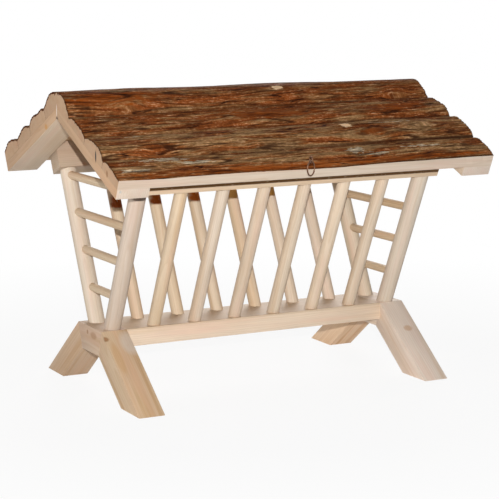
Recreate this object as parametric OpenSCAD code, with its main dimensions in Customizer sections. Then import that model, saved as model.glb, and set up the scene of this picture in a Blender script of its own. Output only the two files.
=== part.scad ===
// Hay feeder box: a V of round slats on splayed legs, under a bark-slab roof that lifts on hinges.
// Millimetres, +Z up. X runs along the ridge and -Y is the front, where the lifting ring hangs.
// The origin is the middle of the bounding box, at floor level.

/* [Roof] */
// Length of the bark slabs and of the roof
roof_length = 470; // [460:1:490]
// Height of the slabs' underside where the two halves meet
ridge_z = 330.9; // [325:0.1:336]
// Slope of the front half, degrees below level
front_slope = 23.4; // [22.5:0.1:24.5]
// Slope of the back half, degrees below level
back_slope = 24.3; // [23:0.1:25]
// Width of each gable batten along the ridge
batten_width = 37.5; // [30:0.5:37.5]
// Thickness of each gable batten
batten_thickness = 11.5; // [9:0.5:13]
// Gap between neighbouring slabs
slab_gap = 0.5; // [0.3:0.1:1.5]

/* [Rack] */
// Lean of the slats and posts, degrees from upright
lean = 25.9; // [25:0.1:27]
// Distance of a slat's axis from the middle plane, at the top of the beam
slat_foot_y = 23.3; // [22:0.1:25]
// Distance between neighbouring slats and posts
slat_pitch = 52; // [50:0.25:52]
// Diameter of a slat
slat_d = 15; // [12:0.5:16]
// Diameter of a corner post
post_d = 19.5; // [18:0.5:20]
// Diameter of a ladder rung
rung_d = 10; // [8:0.5:11]
// Height of the lowest rung
rung_first_z = 116.5; // [112:0.5:118]
// Distance between neighbouring rungs
rung_pitch = 41.8; // [40:0.1:41.8]
// Thickness of each top rail
rail_thickness = 26; // [24:0.5:28]
// Length of each top rail
rail_length = 393; // [389:1:394]
// Free length of a slat between the beam and a top rail
slat_free = 188.5; // [188:0.5:192]

/* [Base] */
// Height of the top of the beam
beam_top = 77.3; // [75:0.1:79]
// Length of the beam between the two end frames
beam_length = 337.4; // [330:0.1:340]
// Width of the beam
beam_width = 71.5; // [70:0.5:78]
// Thickness of the beam
beam_thickness = 20.4; // [19:0.1:24]
// Thickness of the legs and yokes, seen from the end
leg_stock = 30.3; // [29:0.1:31]
// Thickness of the legs and yokes along the ridge
leg_width = 31.4; // [30:0.1:32]
// Slope of a leg, degrees below level
leg_slope = 36.5; // [35:0.1:38]
// Half of the level underside of a yoke
crotch_half = 25.2; // [25:0.1:27]

/* [Hinges and ring] */
// Distance of each hinge from the middle of the rail
hinge_x = 110; // [90:1:130]
// Angle between the lifting ring and the eave, seen from above
ring_turn = 32.5; // [20:0.5:35]
// Position of the ring along the eave
ring_x = -10; // [-12:1:8]

/* [Hidden] */

front = -1;
back = 1;
left = -1;
right = 1;
sides = [front, back];
ends = [left, right];
round_fn = 48;

// Slabs from the ridge down: start and end along the slope, then for the left and the right end
// the height of the upper edge, place and height of the crown, and height of the lower edge
front_slabs = [
  [0, 36, [16, 9, 20, 8.6], [16, 7, 18.9, 10]],
  [36, 87.5, [7, 62, 12.2, 7.6], [9.8, 66, 18.6, 12]],
  [87.5, 141.5, [9, 117, 17.2, 9.6], [12.4, 113, 20, 13.6]],
  [141.5, 187, [10, 163, 14, 11.4], [13, 162, 17.8, 13.2]]
];
back_slabs = [
  [0, 39, [16, 13, 21, 13.5], [16, 13, 20.4, 12.8]],
  [39, 94, [13, 72, 18.2, 12.2], [12, 67, 18.1, 11.8]],
  [94, 141.5, [12, 117, 17.6, 11.6], [11.8, 119, 17.4, 11.4]],
  [141.5, 191.5, [12, 169, 19.4, 14.5], [11.8, 167, 18.8, 13.6]]
];
last_slab = 3;
crown_steps = 12;

slat_count = 6;
post_x = (slat_count + 1) / 2 * slat_pitch;
rung_count = 4;
slat_in_beam = 12;
post_in_yoke = 13;
dowel_in_rail = 12;
rail_gap = 0.3;
frame_x = beam_length / 2 + leg_width / 2;
yoke_top_half = crotch_half + leg_stock * tan(leg_slope / 2);
beam_dowel_d = 8;
beam_dowel_length = 30;

leaf_length = 30;
leaf_depth = 15;
leaf_plate = 1;
knuckle_r = 2.5;
knuckle_pitch = 10;
knuckle_length = 9.7;
knuckle_clear = 0.3;
leaf_setback = 2.9;
hinge_pin_r = 1.2;
hinge_bore_r = 1.25;
screw_spread = 20;
screw_inset = 9.5;
screw_head_r = 2;
screw_r = 1;
screw_body = 6;
screw_tip = 1.5;
screw_tip_r = 0.2;
slot_width = 0.6;
slot_depth = 0.4;

ring_r = 8;
ring_wire_r = 0.75;
ring_y = 182;
ring_z = 268.3;
eye_r = 3.2;
eye_wire_r = 0.8;
eye_rise = 1.3;
eye_tilt = 45;
eye_length = 21;

// The rack and roof stand off centre by half of what the ring adds to the front
ring_reach = ring_y + ring_r * sin(ring_turn) + ring_wire_r;
back_run = back_slabs[last_slab][1];
back_edge_height = back_slabs[last_slab][2][3];
back_reach = back_run * cos(back_slope) + back_edge_height * sin(back_slope);
mid_y = (ring_reach - back_reach) / 2;

function slope(side) = side == front ? front_slope : back_slope;
function slabs(side) = side == front ? front_slabs : back_slabs;
function run(side) = slabs(side)[last_slab][1];
function slat_x(i) = (i - (slat_count + 1) / 2) * slat_pitch;
function rung_z(i) = rung_first_z + (i - 1) * rung_pitch;
function slat_y(z) = slat_foot_y + (z - beam_top) * tan(lean);

// Distance up the slat line at which a line d outside it meets height h above the slabs' underside
function meets(side, d, h) =
  (h - (slat_foot_y + d * cos(lean)) * sin(slope(side))
     - (beam_top - d * sin(lean) - ridge_z) * cos(slope(side))) / cos(lean - slope(side));

// Centre of the circle through three points
function circle_centre(p, q, r) =
  let(
    pp = p * p,
    qq = q * q,
    rr = r * r,
    twice_area = p.x * (q.y - r.y) + q.x * (r.y - p.y) + r.x * (p.y - q.y)
  )
  [
    pp * (q.y - r.y) + qq * (r.y - p.y) + rr * (p.y - q.y),
    pp * (r.x - q.x) + qq * (p.x - r.x) + rr * (q.x - p.x)
  ] / (2 * twice_area);

hinge_out = rail_thickness / 2 + knuckle_r + knuckle_clear;
hinge_drop = knuckle_r + knuckle_clear;
hinge_up = meets(back, hinge_out, -hinge_drop);
hinge_y = slat_foot_y + hinge_up * sin(lean) + hinge_out * cos(lean);
hinge_z = beam_top + hinge_up * cos(lean) - hinge_out * sin(lean);
hinge_run = hinge_y * cos(back_slope) - (hinge_z - ridge_z) * sin(back_slope);

// Frames. In on_side +Y points away from the middle plane on either side.
module on_side(side) {
  translate([0, mid_y, 0])
    if (side == front)
      mirror([0, 1, 0])
        children();
    else
      children();
}

// +Y runs down the slope and +Z stands on the slabs' underside
module on_slope(side) {
  on_side(side)
    translate([0, 0, ridge_z])
      rotate([-slope(side), 0, 0])
        children();
}

// +Z runs up the slat line and +Y points out of the rack
module on_slats(side) {
  on_side(side)
    translate([0, slat_foot_y, beam_top])
      rotate([-lean, 0, 0])
        children();
}

// A drawing in Y and Z, drawn out evenly along X
module along_x(length) {
  rotate([90, 0, 90])
    linear_extrude(height = length, center = true)
      children();
}

module rod_x(length, r) {
  rotate([0, 90, 0])
    cylinder(h = length, r = r, center = true, $fn = round_fn);
}

// Base
module base_beam() {
  color("burlywood")
    difference() {
      translate([0, mid_y, beam_top - beam_thickness / 2])
        cube([beam_length, beam_width, beam_thickness], center = true);
      for (side = sides)
        for (i = [1 : slat_count])
          slat_rod(side, i);
      beam_dowel_rods();
    }
}

module beam_dowel_rods() {
  for (end = ends)
    translate([end * beam_length / 2, mid_y, beam_top - beam_thickness / 2])
      rod_x(beam_dowel_length, beam_dowel_d / 2);
}

module beam_dowels() {
  color("tan")
    beam_dowel_rods();
}

module yoke(end) {
  color("wheat")
    difference() {
      translate([end * frame_x, mid_y, beam_top - leg_stock])
        along_x(leg_width)
          polygon([
            [-crotch_half, 0],
            [crotch_half, 0],
            [yoke_top_half, leg_stock],
            [-yoke_top_half, leg_stock]
          ]);
      for (side = sides)
        post_rod(side, end);
      beam_dowel_rods();
    }
}

module leg(side, end) {
  color("wheat")
    on_side(side)
      translate([end * frame_x, 0, 0])
        along_x(leg_width)
          polygon([
            [crotch_half, beam_top - leg_stock],
            [yoke_top_half, beam_top],
            [yoke_top_half + beam_top / tan(leg_slope), 0],
            [crotch_half + (beam_top - leg_stock) / tan(leg_slope), 0]
          ]);
}

// Rack
module slat_rod(side, i) {
  on_slats(side)
    translate([slat_x(i), 0, -slat_in_beam])
      cylinder(h = slat_in_beam + slat_free + dowel_in_rail, d = slat_d, $fn = round_fn);
}

module slat(side, i) {
  color("burlywood")
    slat_rod(side, i);
}

module post_rod(side, end) {
  on_slats(side)
    translate([end * post_x, 0, -post_in_yoke])
      cylinder(h = post_in_yoke + slat_free + dowel_in_rail, d = post_d, $fn = round_fn);
}

module post(side, end) {
  color("burlywood")
    difference() {
      post_rod(side, end);
      for (i = [1 : rung_count])
        rung_rod(end, i);
    }
}

module rung_rod(end, i) {
  translate([end * post_x, mid_y, rung_z(i)])
    rotate([90, 0, 0])
      cylinder(h = 2 * slat_y(rung_z(i)), d = rung_d, center = true, $fn = round_fn);
}

module rung(end, i) {
  color("tan")
    rung_rod(end, i);
}

module top_rail(side) {
  half = rail_thickness / 2;
  color("wheat")
    difference() {
      on_slats(side)
        along_x(rail_length)
          polygon([
            [-half, slat_free],
            [half, slat_free],
            [half, meets(side, half, -rail_gap)],
            [-half, meets(side, -half, -rail_gap)]
          ]);
      for (i = [1 : slat_count])
        slat_rod(side, i);
      for (end = ends)
        post_rod(side, end);
      if (side == back)
        rail_screw_bodies();
    }
}

// Hinges
module screw_body_at(slotted) {
  difference() {
    union() {
      cylinder(h = leaf_plate, r1 = screw_head_r, r2 = screw_r, $fn = round_fn);
      translate([0, 0, leaf_plate])
        cylinder(h = screw_body, r = screw_r, $fn = round_fn);
      translate([0, 0, leaf_plate + screw_body])
        cylinder(h = screw_tip, r1 = screw_r, r2 = screw_tip_r, $fn = round_fn);
    }
    if (slotted)
      cube([2 * screw_head_r, slot_width, 2 * slot_depth], center = true);
  }
}

module rail_screw_bodies(slotted = false) {
  for (end = ends)
    for (step = ends)
      on_slats(back)
        translate([
          end * hinge_x + step * screw_spread / 2,
          rail_thickness / 2 + leaf_plate,
          hinge_up - screw_inset
        ])
          rotate([90, 0, 0])
            screw_body_at(slotted);
}

module roof_screw_bodies(slotted = false) {
  for (end = ends)
    for (step = ends)
      on_slope(back)
        translate([end * hinge_x + step * screw_spread / 2, hinge_run + screw_inset, -leaf_plate])
          screw_body_at(slotted);
}

module rail_screws() {
  color("gold")
    rail_screw_bodies(true);
}

module roof_screws() {
  color("gold")
    roof_screw_bodies(true);
}

module hinge_rail_leaf(end) {
  color("goldenrod")
    difference() {
      on_slats(back)
        translate([end * hinge_x, rail_thickness / 2, hinge_up]) {
          translate([-leaf_length / 2, 0, -leaf_depth])
            cube([leaf_length, leaf_plate, leaf_depth - leaf_setback]);
          for (step = ends)
            translate([step * knuckle_pitch, 0, 0])
              difference() {
                union() {
                  translate([-knuckle_length / 2, 0, -leaf_setback])
                    cube([knuckle_length, leaf_plate, leaf_setback]);
                  translate([0, hinge_drop, 0])
                    rod_x(knuckle_length, knuckle_r);
                }
                translate([0, hinge_drop, 0])
                  rod_x(leaf_length, hinge_pin_r);
              }
        }
      rail_screw_bodies();
    }
}

module hinge_pin(end) {
  color("darkgoldenrod")
    on_slats(back)
      translate([end * hinge_x, hinge_out, hinge_up])
        rod_x(leaf_length - knuckle_clear, hinge_pin_r);
}

module hinge_roof_leaf(end) {
  color("goldenrod")
    difference() {
      on_slope(back)
        translate([end * hinge_x, hinge_run, 0]) {
          translate([-leaf_length / 2, leaf_setback, -leaf_plate])
            cube([leaf_length, leaf_depth - leaf_setback, leaf_plate]);
          difference() {
            union() {
              translate([-knuckle_length / 2, 0, -leaf_plate])
                cube([knuckle_length, leaf_setback, leaf_plate]);
              translate([0, 0, -hinge_drop])
                rod_x(knuckle_length, knuckle_r);
            }
            translate([0, 0, -hinge_drop])
              rod_x(leaf_length, hinge_bore_r);
          }
        }
      roof_screw_bodies();
    }
}

// Roof
// Points of an arc from p over q to r
function arc(p, q, r) =
  let(
    centre = circle_centre(p, q, r),
    first = atan2(p.y - centre.y, p.x - centre.x),
    last = atan2(r.y - centre.y, r.x - centre.x)
  )
  [
    for (k = [0 : crown_steps])
      let(a = first + (last - first) * k / crown_steps)
        centre + norm(p - centre) * [cos(a), sin(a)]
  ];

// One end of a slab as run and height: flat below, a round bark crown above. The first slab is
// mitred at the ridge.
function slab_section(side, i, end) =
  let(
    s = slabs(side)[i - 1],
    heights = s[end == left ? 2 : 3],
    from = i == 1 ? 0 : s[0] + slab_gap / 2,
    to = i == last_slab + 1 ? s[1] : s[1] - slab_gap / 2,
    mitre = i == 1 ? heights[0] * tan(slope(side)) : 0
  )
  concat(
    [[from, 0], [to, 0]],
    arc([to, heights[3]], [heights[1], heights[2]], [from - mitre, heights[0]])
  );

// A log is thicker at one end, so a slab runs straight from its left outline to its right one
module slab_body(side, i) {
  count = crown_steps + 3;
  points = [
    for (end = ends)
      for (p = slab_section(side, i, end))
        [end * roof_length / 2, p.x, p.y]
  ];
  skin = [
    for (j = [0 : count - 1])
      let(k = (j + 1) % count)
        each [[j, count + j, count + k], [j, count + k, k]]
  ];
  caps = [
    [for (j = [0 : count - 1]) j],
    [for (j = [0 : count - 1]) 2 * count - 1 - j]
  ];
  polyhedron(points, concat(caps, skin));
}

module slab(side, i) {
  color("sienna")
    difference() {
      on_slope(side)
        slab_body(side, i);
      if (side == back)
        if (i == last_slab + 1)
          roof_screw_bodies();
      if (side == front)
        if (i == last_slab + 1)
          eye_shank();
    }
}

module batten(side, end) {
  color("wheat")
    on_slope(side)
      translate([end * (roof_length - batten_width) / 2, 0, 0])
        along_x(batten_width)
          polygon([
            [0, 0],
            [run(side), 0],
            [run(side), -batten_thickness],
            [batten_thickness * tan(slope(side)), -batten_thickness]
          ]);
}

// Lifting ring
module at_eye() {
  on_side(front)
    translate([ring_x, ring_y, ring_z + ring_r + eye_rise])
      children();
}

module eye_shank() {
  at_eye()
    rotate([90 + eye_tilt, 0, 0])
      translate([0, 0, eye_r])
        cylinder(h = eye_length - eye_r, r = eye_wire_r, $fn = round_fn);
}

module screw_eye() {
  color("silver") {
    at_eye()
      rotate([0, 90, 0])
        rotate_extrude($fn = round_fn)
          translate([eye_r, 0])
            circle(r = eye_wire_r, $fn = round_fn);
    eye_shank();
  }
}

module pull_ring() {
  color("silver")
    translate([ring_x, mid_y - ring_y, ring_z])
      rotate([90, 0, ring_turn])
        rotate_extrude($fn = round_fn)
          translate([ring_r, 0])
            circle(r = ring_wire_r, $fn = round_fn);
}

module yoke_left() { yoke(left); }
module yoke_right() { yoke(right); }
module leg_front_left() { leg(front, left); }
module leg_front_right() { leg(front, right); }
module leg_back_left() { leg(back, left); }
module leg_back_right() { leg(back, right); }
module post_front_left() { post(front, left); }
module post_front_right() { post(front, right); }
module post_back_left() { post(back, left); }
module post_back_right() { post(back, right); }
module slat_front_1() { slat(front, 1); }
module slat_front_2() { slat(front, 2); }
module slat_front_3() { slat(front, 3); }
module slat_front_4() { slat(front, 4); }
module slat_front_5() { slat(front, 5); }
module slat_front_6() { slat(front, 6); }
module slat_back_1() { slat(back, 1); }
module slat_back_2() { slat(back, 2); }
module slat_back_3() { slat(back, 3); }
module slat_back_4() { slat(back, 4); }
module slat_back_5() { slat(back, 5); }
module slat_back_6() { slat(back, 6); }
module rung_left_1() { rung(left, 1); }
module rung_left_2() { rung(left, 2); }
module rung_left_3() { rung(left, 3); }
module rung_left_4() { rung(left, 4); }
module rung_right_1() { rung(right, 1); }
module rung_right_2() { rung(right, 2); }
module rung_right_3() { rung(right, 3); }
module rung_right_4() { rung(right, 4); }
module top_rail_front() { top_rail(front); }
module top_rail_back() { top_rail(back); }
module hinge_rail_leaf_left() { hinge_rail_leaf(left); }
module hinge_rail_leaf_right() { hinge_rail_leaf(right); }
module hinge_pin_left() { hinge_pin(left); }
module hinge_pin_right() { hinge_pin(right); }
module hinge_roof_leaf_left() { hinge_roof_leaf(left); }
module hinge_roof_leaf_right() { hinge_roof_leaf(right); }
module slab_front_1() { slab(front, 1); }
module slab_front_2() { slab(front, 2); }
module slab_front_3() { slab(front, 3); }
module slab_front_4() { slab(front, 4); }
module slab_back_1() { slab(back, 1); }
module slab_back_2() { slab(back, 2); }
module slab_back_3() { slab(back, 3); }
module slab_back_4() { slab(back, 4); }
module batten_front_left() { batten(front, left); }
module batten_front_right() { batten(front, right); }
module batten_back_left() { batten(back, left); }
module batten_back_right() { batten(back, right); }

base_beam();
beam_dowels();
yoke_left();
yoke_right();
leg_front_left();
leg_front_right();
leg_back_left();
leg_back_right();
post_front_left();
post_front_right();
post_back_left();
post_back_right();
slat_front_1();
slat_front_2();
slat_front_3();
slat_front_4();
slat_front_5();
slat_front_6();
slat_back_1();
slat_back_2();
slat_back_3();
slat_back_4();
slat_back_5();
slat_back_6();
rung_left_1();
rung_left_2();
rung_left_3();
rung_left_4();
rung_right_1();
rung_right_2();
rung_right_3();
rung_right_4();
top_rail_front();
top_rail_back();
hinge_rail_leaf_left();
hinge_rail_leaf_right();
hinge_pin_left();
hinge_pin_right();
rail_screws();
hinge_roof_leaf_left();
hinge_roof_leaf_right();
roof_screws();
slab_front_1();
slab_front_2();
slab_front_3();
slab_front_4();
slab_back_1();
slab_back_2();
slab_back_3();
slab_back_4();
batten_front_left();
batten_front_right();
batten_back_left();
batten_back_right();
screw_eye();
pull_ring();
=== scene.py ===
"""Looks for the hay feeder box: sawn softwood, round dowels, bark slabs and brown wire."""
import math
from functools import partial

import bmesh
import bpy
import numpy as np
from mathutils import Matrix, Vector


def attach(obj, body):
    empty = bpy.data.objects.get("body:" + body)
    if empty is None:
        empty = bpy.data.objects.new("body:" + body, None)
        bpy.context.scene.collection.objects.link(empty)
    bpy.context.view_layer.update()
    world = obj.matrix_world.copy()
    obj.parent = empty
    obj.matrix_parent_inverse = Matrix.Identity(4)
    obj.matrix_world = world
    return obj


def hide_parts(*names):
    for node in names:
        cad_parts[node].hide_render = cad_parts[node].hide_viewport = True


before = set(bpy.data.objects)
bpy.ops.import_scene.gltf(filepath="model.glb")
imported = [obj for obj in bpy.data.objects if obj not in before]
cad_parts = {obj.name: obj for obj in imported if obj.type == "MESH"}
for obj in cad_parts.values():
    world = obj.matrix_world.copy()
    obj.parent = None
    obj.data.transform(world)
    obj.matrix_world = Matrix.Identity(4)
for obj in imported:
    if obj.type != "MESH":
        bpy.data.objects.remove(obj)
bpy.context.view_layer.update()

MM = 0.001
FRONT, BACK, LEFT, RIGHT = -1, 1, -1, 1
SIDES = {"front": FRONT, "back": BACK}
ENDS = {"left": LEFT, "right": RIGHT}
ALONG_X = Vector((1, 0, 0))
ALONG_Y = Vector((0, 1, 0))

# The frame's own sizes in millimetres, as in part.scad, with its slopes turned into radians
MID_Y = 3.2739
RIDGE_Z = 330.9
SLOPE = {FRONT: math.radians(23.4), BACK: math.radians(24.3)}
ROOF_LENGTH = 470
BATTEN_WIDTH = 37.5
BATTEN_THICKNESS = 11.5
SLAB_EDGES = {FRONT: [0, 36, 87.5, 141.5, 187], BACK: [0, 39, 94, 141.5, 191.5]}
LEAN = math.radians(25.9)
SLAT_FOOT_Y = 23.3
SLAT_PITCH = 52
SLAT_COUNT = 6
SLAT_D = 15
POST_D = 19.5
RUNG_D = 10
RUNG_FIRST_Z = 116.5
RUNG_PITCH = 41.8
RUNG_COUNT = 4
RAIL_THICKNESS = 26
RAIL_LENGTH = 393
RAIL_GAP = 0.3
SLAT_FREE = 188.5
SLAT_IN_BEAM = 12
POST_IN_YOKE = 13
DOWEL_IN_RAIL = 12
BEAM_TOP = 77.3
BEAM_LENGTH = 337.4
BEAM_WIDTH = 71.5
BEAM_THICKNESS = 20.4
LEG_STOCK = 30.3
LEG_WIDTH = 31.4
LEG_SLOPE = math.radians(36.5)
CROTCH_HALF = 25.2
BEAM_DOWEL_D = 8
BEAM_DOWEL_LENGTH = 30
# The scene's slabs lie closer than the frame's, which are 0.5 mm apart
SLAB_GAP = 0.16

SLATS = range(1, SLAT_COUNT + 1)
RUNGS = range(1, RUNG_COUNT + 1)
SLAB_COUNT = len(SLAB_EDGES[FRONT]) - 1
LAST_SLAB = SLAB_COUNT - 1
POST_X = (SLAT_COUNT + 1) / 2 * SLAT_PITCH
FRAME_X = (BEAM_LENGTH + LEG_WIDTH) / 2
YOKE_TOP_HALF = CROTCH_HALF + LEG_STOCK * math.tan(LEG_SLOPE / 2)


# Places. Each takes millimetres and gives a point of the row frame, in millimetres.
def on_side(side, x, out, z):
    return Vector((x, MID_Y + side * out, z))


def on_slope(side, x, run, rise):
    """run goes down the slope from the ridge, and rise stands on the slabs' underside."""
    angle = SLOPE[side]
    out = run * math.cos(angle) + rise * math.sin(angle)
    return on_side(side, x, out, RIDGE_Z - run * math.sin(angle) + rise * math.cos(angle))


def slope_points(side, x, run, rise):
    """on_slope for arrays, as rows of x, y and z."""
    angle = SLOPE[side]
    out = run * math.cos(angle) + rise * math.sin(angle)
    z = RIDGE_Z - run * math.sin(angle) + rise * math.cos(angle)
    return np.stack([x, MID_Y + side * out, z], axis=-1)


def on_slats(side, x, out, up):
    """up goes along the slats from the top of the beam, and out stands off their line."""
    y = SLAT_FOOT_Y + up * math.sin(LEAN) + out * math.cos(LEAN)
    return on_side(side, x, y, BEAM_TOP + up * math.cos(LEAN) - out * math.sin(LEAN))


def slat_x(i):
    return (i - (SLAT_COUNT + 1) / 2) * SLAT_PITCH


def slat_y(z):
    """How far the slats' line is from the middle plane at a height."""
    return SLAT_FOOT_Y + (z - BEAM_TOP) * math.tan(LEAN)


def rail_top(side, out):
    """How far up the slats' line a rail reaches, at a distance out from that line."""
    angle = SLOPE[side]
    across = (SLAT_FOOT_Y + out * math.cos(LEAN)) * math.sin(angle)
    down = (BEAM_TOP - out * math.sin(LEAN) - RIDGE_Z) * math.cos(angle)
    return (-RAIL_GAP - across - down) / math.cos(LEAN - angle)


# Repeatable noise over arrays
def lattice(ix, iy, seed):
    """A scrambled angle for each whole-numbered place, always the same for the same seed."""
    n = (ix * 374761393 + iy * 668265263 + seed * 974634777) & 0xFFFFFFFF
    n = ((n ^ (n >> 13)) * 1274126177) & 0xFFFFFFFF
    return ((n ^ (n >> 16)) & 0xFFFF) / 0xFFFF * 2 * math.pi


def noise(x, y, seed):
    """Smooth noise from about -1 to 1 over arrays x and y, with one cell per unit."""
    ix, iy = np.floor(x).astype(np.int64), np.floor(y).astype(np.int64)
    fx, fy = x - ix, y - iy
    ux, uy = (t * t * t * (t * (t * 6 - 15) + 10) for t in (fx, fy))
    rows = []
    for dy in (0, 1):
        corner = []
        for dx in (0, 1):
            angle = lattice(ix + dx, iy + dy, seed)
            corner.append(np.cos(angle) * (fx - dx) + np.sin(angle) * (fy - dy))
        rows.append(corner[0] + ux * (corner[1] - corner[0]))
    return 1.5 * (rows[0] + uy * (rows[1] - rows[0]))


def smooth(value, low, high):
    """0 below low and 1 above high, with a smooth rise between them."""
    t = np.clip((value - low) / (high - low), 0, 1)
    return t * t * (3 - 2 * t)


# Finishes
def srgb(red, green, blue):
    """A colour given as it looks on screen, from 0 to 255, in the shader's own linear numbers."""
    parts = [c / 255 for c in (red, green, blue)]
    return [c / 12.92 if c <= 0.04045 else ((c + 0.055) / 1.055) ** 2.4 for c in parts] + [1]


def darker(base, red, green, blue):
    """A screen colour with each of its three parts made smaller."""
    return srgb(base[0] * red, base[1] * green, base[2] * blue)


BARK_RED = srgb(146, 78, 36)
BARK_BROWN = srgb(150, 95, 53)
BARK_OLIVE = srgb(164, 124, 82)
BARK_PALE = srgb(190, 152, 114)
BARK_ORANGE = srgb(146, 70, 18)
BARK_LICHEN = srgb(206, 189, 160)
BARK_BARE = srgb(255, 216, 172)
BARK_DARK = srgb(48, 22, 10)
BRASS = srgb(214, 184, 112)
BROWN_WIRE = srgb(120, 84, 64)
TARNISH = srgb(96, 84, 66)
KNOT = srgb(146, 98, 56)
RESIN = srgb(196, 146, 92)
PLANED = srgb(216, 202, 188)
# Painted shade for the top of the beam
BEAM_TOP_PAINTED_SHADE = srgb(198, 174, 144)
SHADED = srgb(60, 34, 18)
INK = srgb(40, 30, 26)
GREY_SPOT = srgb(150, 162, 170)
PALE_LINE = srgb(250, 244, 236)
# The next three colours are painted shadows: on the back rail's inner face, under the eave on the
# front rail, and on the back slats' tops
ORANGE_PAINTED_SHADOW = srgb(200, 106, 36)
EAVE_SHADOW_BROWN = srgb(108, 74, 36)
PALE_PAINTED_SHADOW = srgb(222, 172, 98)
# From one growth ring of the wood to the next
RING_GAP = 2.4 * MM
# The woods, by the start of the nodes' names: the colour on screen, and how bold the streaks are
WOODS = {
    "base_beam": ((229, 209, 187), 0.35),
    "beam_dowels": ((216, 198, 178), 0.3),
    "yoke_left": ((199, 174, 149), 0.6),
    "yoke_right": ((228, 212, 196), 0.5),
    "leg_front_left": ((213, 187, 156), 1.0),
    "leg_front_right": ((231, 216, 203), 0.5),
    "leg_back_left": ((200, 174, 147), 0.8),
    "leg_back_right": ((230, 200, 168), 0.9),
    "top_rail_front": ((213, 189, 160), 0.4),
    "top_rail_back": ((184, 165, 144), 0.4),
    "post_front_left": ((204, 189, 176), 0.4),
    "post_back": ((214, 199, 178), 0.3),
    "post": ((214, 203, 190), 0.35),
    "slat_back": ((219, 201, 178), 0.5),
    "slat": ((219, 202, 181), 0.5),
    "rung": ((214, 190, 158), 0.5),
    "batten_end": ((210, 194, 179), 0.2),
    "batten": ((212, 194, 172), 0.3),
    "slab_under": ((206, 176, 142), 0.5),
    "slab": ((214, 197, 179), 0.5),
    "end_grain": ((199, 165, 133), 0.3),
}
# How yellow (up to 1) or pink (down to -1) a piece is, where the photo shows it
TINTS = {
    "slat_front_1": 0.7,
    "slat_front_2": -0.3,
    "slat_front_3": -0.1,
    "slat_front_4": 0.1,
    "slat_front_5": 0.2,
    "slat_front_6": 0.1,
    "slat_back_1": 0.4,
    "slat_back_2": 0.5,
    "slat_back_3": 0.2,
}
# How far the other pieces may be from neutral, by their slot
LOOSE_TINTS = {"dowel_wood": 0.5, "sawn_wood": 0.25}
# Painted shadow of the roof on the inner faces at the tops of back slats 1 to 5: the height it
# starts at, and its colour
SLAT_TOP_SHADOWS = (
    (200.4, srgb(140, 66, 8)),
    (201.6, srgb(156, 76, 10)),
    (202.2, srgb(184, 98, 26)),
    (202.4, PALE_PAINTED_SHADOW),
    (202.4, PALE_PAINTED_SHADOW),
)
# Each top's painted shadow is a tall mark, and a low one that sharpens its lower edge
SLAT_TOP_SHADOW_HEIGHTS = (12.5, 4.5)
SLAT_TOP_SHADOW_Y = 77
EVERYWHERE = 1000
GABLE_X = -ROOF_LENGTH / 2
# Where the eave's painted shadow runs along the top of the front rail's outer face
EAVE_SHADOW_LINE = on_slats(FRONT, 0, RAIL_THICKNESS / 2, 196)
# Where the batten's painted shadow crosses the top of the front left post
POST_TOP_SHADOW = on_slats(FRONT, -POST_X, POST_D / 2, 182.4)
# Knots, stains and painted shade and shadows by wood: the place, how far it reaches along x, y and
# z, its colour and strength
MARKS = {
    "end_grain": [
        (Vector((GABLE_X, -110.5, 286.5)), (3, 2.2, 7.5), INK, 1.0),
        (Vector((GABLE_X, -141.4, 271)), (3, 3, 4.5), KNOT, 0.8),
        (Vector((GABLE_X, 38.3, 306.5)), (3, 5, 4), RESIN, 1.0),
        (Vector((GABLE_X, 2.7, 318.5)), (3, 4, 3), SHADED, 0.9),
        (Vector((GABLE_X, 3.1, 327)), (3, 0.9, 9), PALE_LINE, 1.0),
    ],
    # Painted shade that darkens the top of the beam
    "base_beam": [(Vector((0, 0, BEAM_TOP)), (EVERYWHERE, 200, 2.5), BEAM_TOP_PAINTED_SHADE, 0.6)],
    "yoke_left": [
        (Vector((-200, -7.6, 68.5)), (4, 11, 5), KNOT, 0.45),
        (Vector((-200, 10.7, 69.8)), (4, 3, 3), KNOT, 0.7),
    ],
    "leg_front_left": [
        (Vector((-200, -42.2, 71)), (6, 5, 4), KNOT, 0.8),
        (Vector((-172, -50, 66)), (14, 24, 18), PLANED, 0.7),
        (Vector((-193, -66, 53)), (6, 34, 25), RESIN, 0.45),
    ],
    "leg_front_right": [(Vector((186.7, -68.3, 50.4)), (7, 6, 5), RESIN, 0.5)],
    "batten_end": [(Vector((-231, -173, 254)), (2.6, 8, 2.6), GREY_SPOT, 0.7)],
    # Painted shadow of the roof on the tops of the back slats' inner faces
    "slat_back": [
        (Vector((slat_x(i), SLAT_TOP_SHADOW_Y, start + height)), (40, 14, height), colour, 1.0)
        for i, (start, colour) in zip(SLATS, SLAT_TOP_SHADOWS)
        for height in SLAT_TOP_SHADOW_HEIGHTS
    ],
    # Painted shadow of the batten's end on the front left post
    "post_front_left": [(POST_TOP_SHADOW, (16, 9, 3), SHADED, 0.75)],
    # Painted shadow of the front batten on the back rail's inner face
    "top_rail_back": [(Vector((-165, 80, 256)), (9, 20, 9), ORANGE_PAINTED_SHADOW, 1.0)],
    # Painted shadow of the eave on the front rail
    "top_rail_front": [(EAVE_SHADOW_LINE, (EVERYWHERE, 2.5, 2.5), EAVE_SHADOW_BROWN, 1.0)],
}


# Shader nodes
def add_node(tree, kind, inputs=None, **settings):
    node = tree.nodes.new(kind)
    for name, value in settings.items():
        setattr(node, name, value)
    for name, value in (inputs or {}).items():
        if isinstance(value, bpy.types.NodeSocket):
            tree.links.new(value, node.inputs[name])
        else:
            node.inputs[name].default_value = value
    return node


def math_node(tree, operation, a, b=0.0):
    return add_node(tree, "ShaderNodeMath", {0: a, 1: b}, operation=operation).outputs[0]


def plus(tree, a, b):
    return math_node(tree, "ADD", a, b)


def times(tree, a, b):
    return math_node(tree, "MULTIPLY", a, b)


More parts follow.
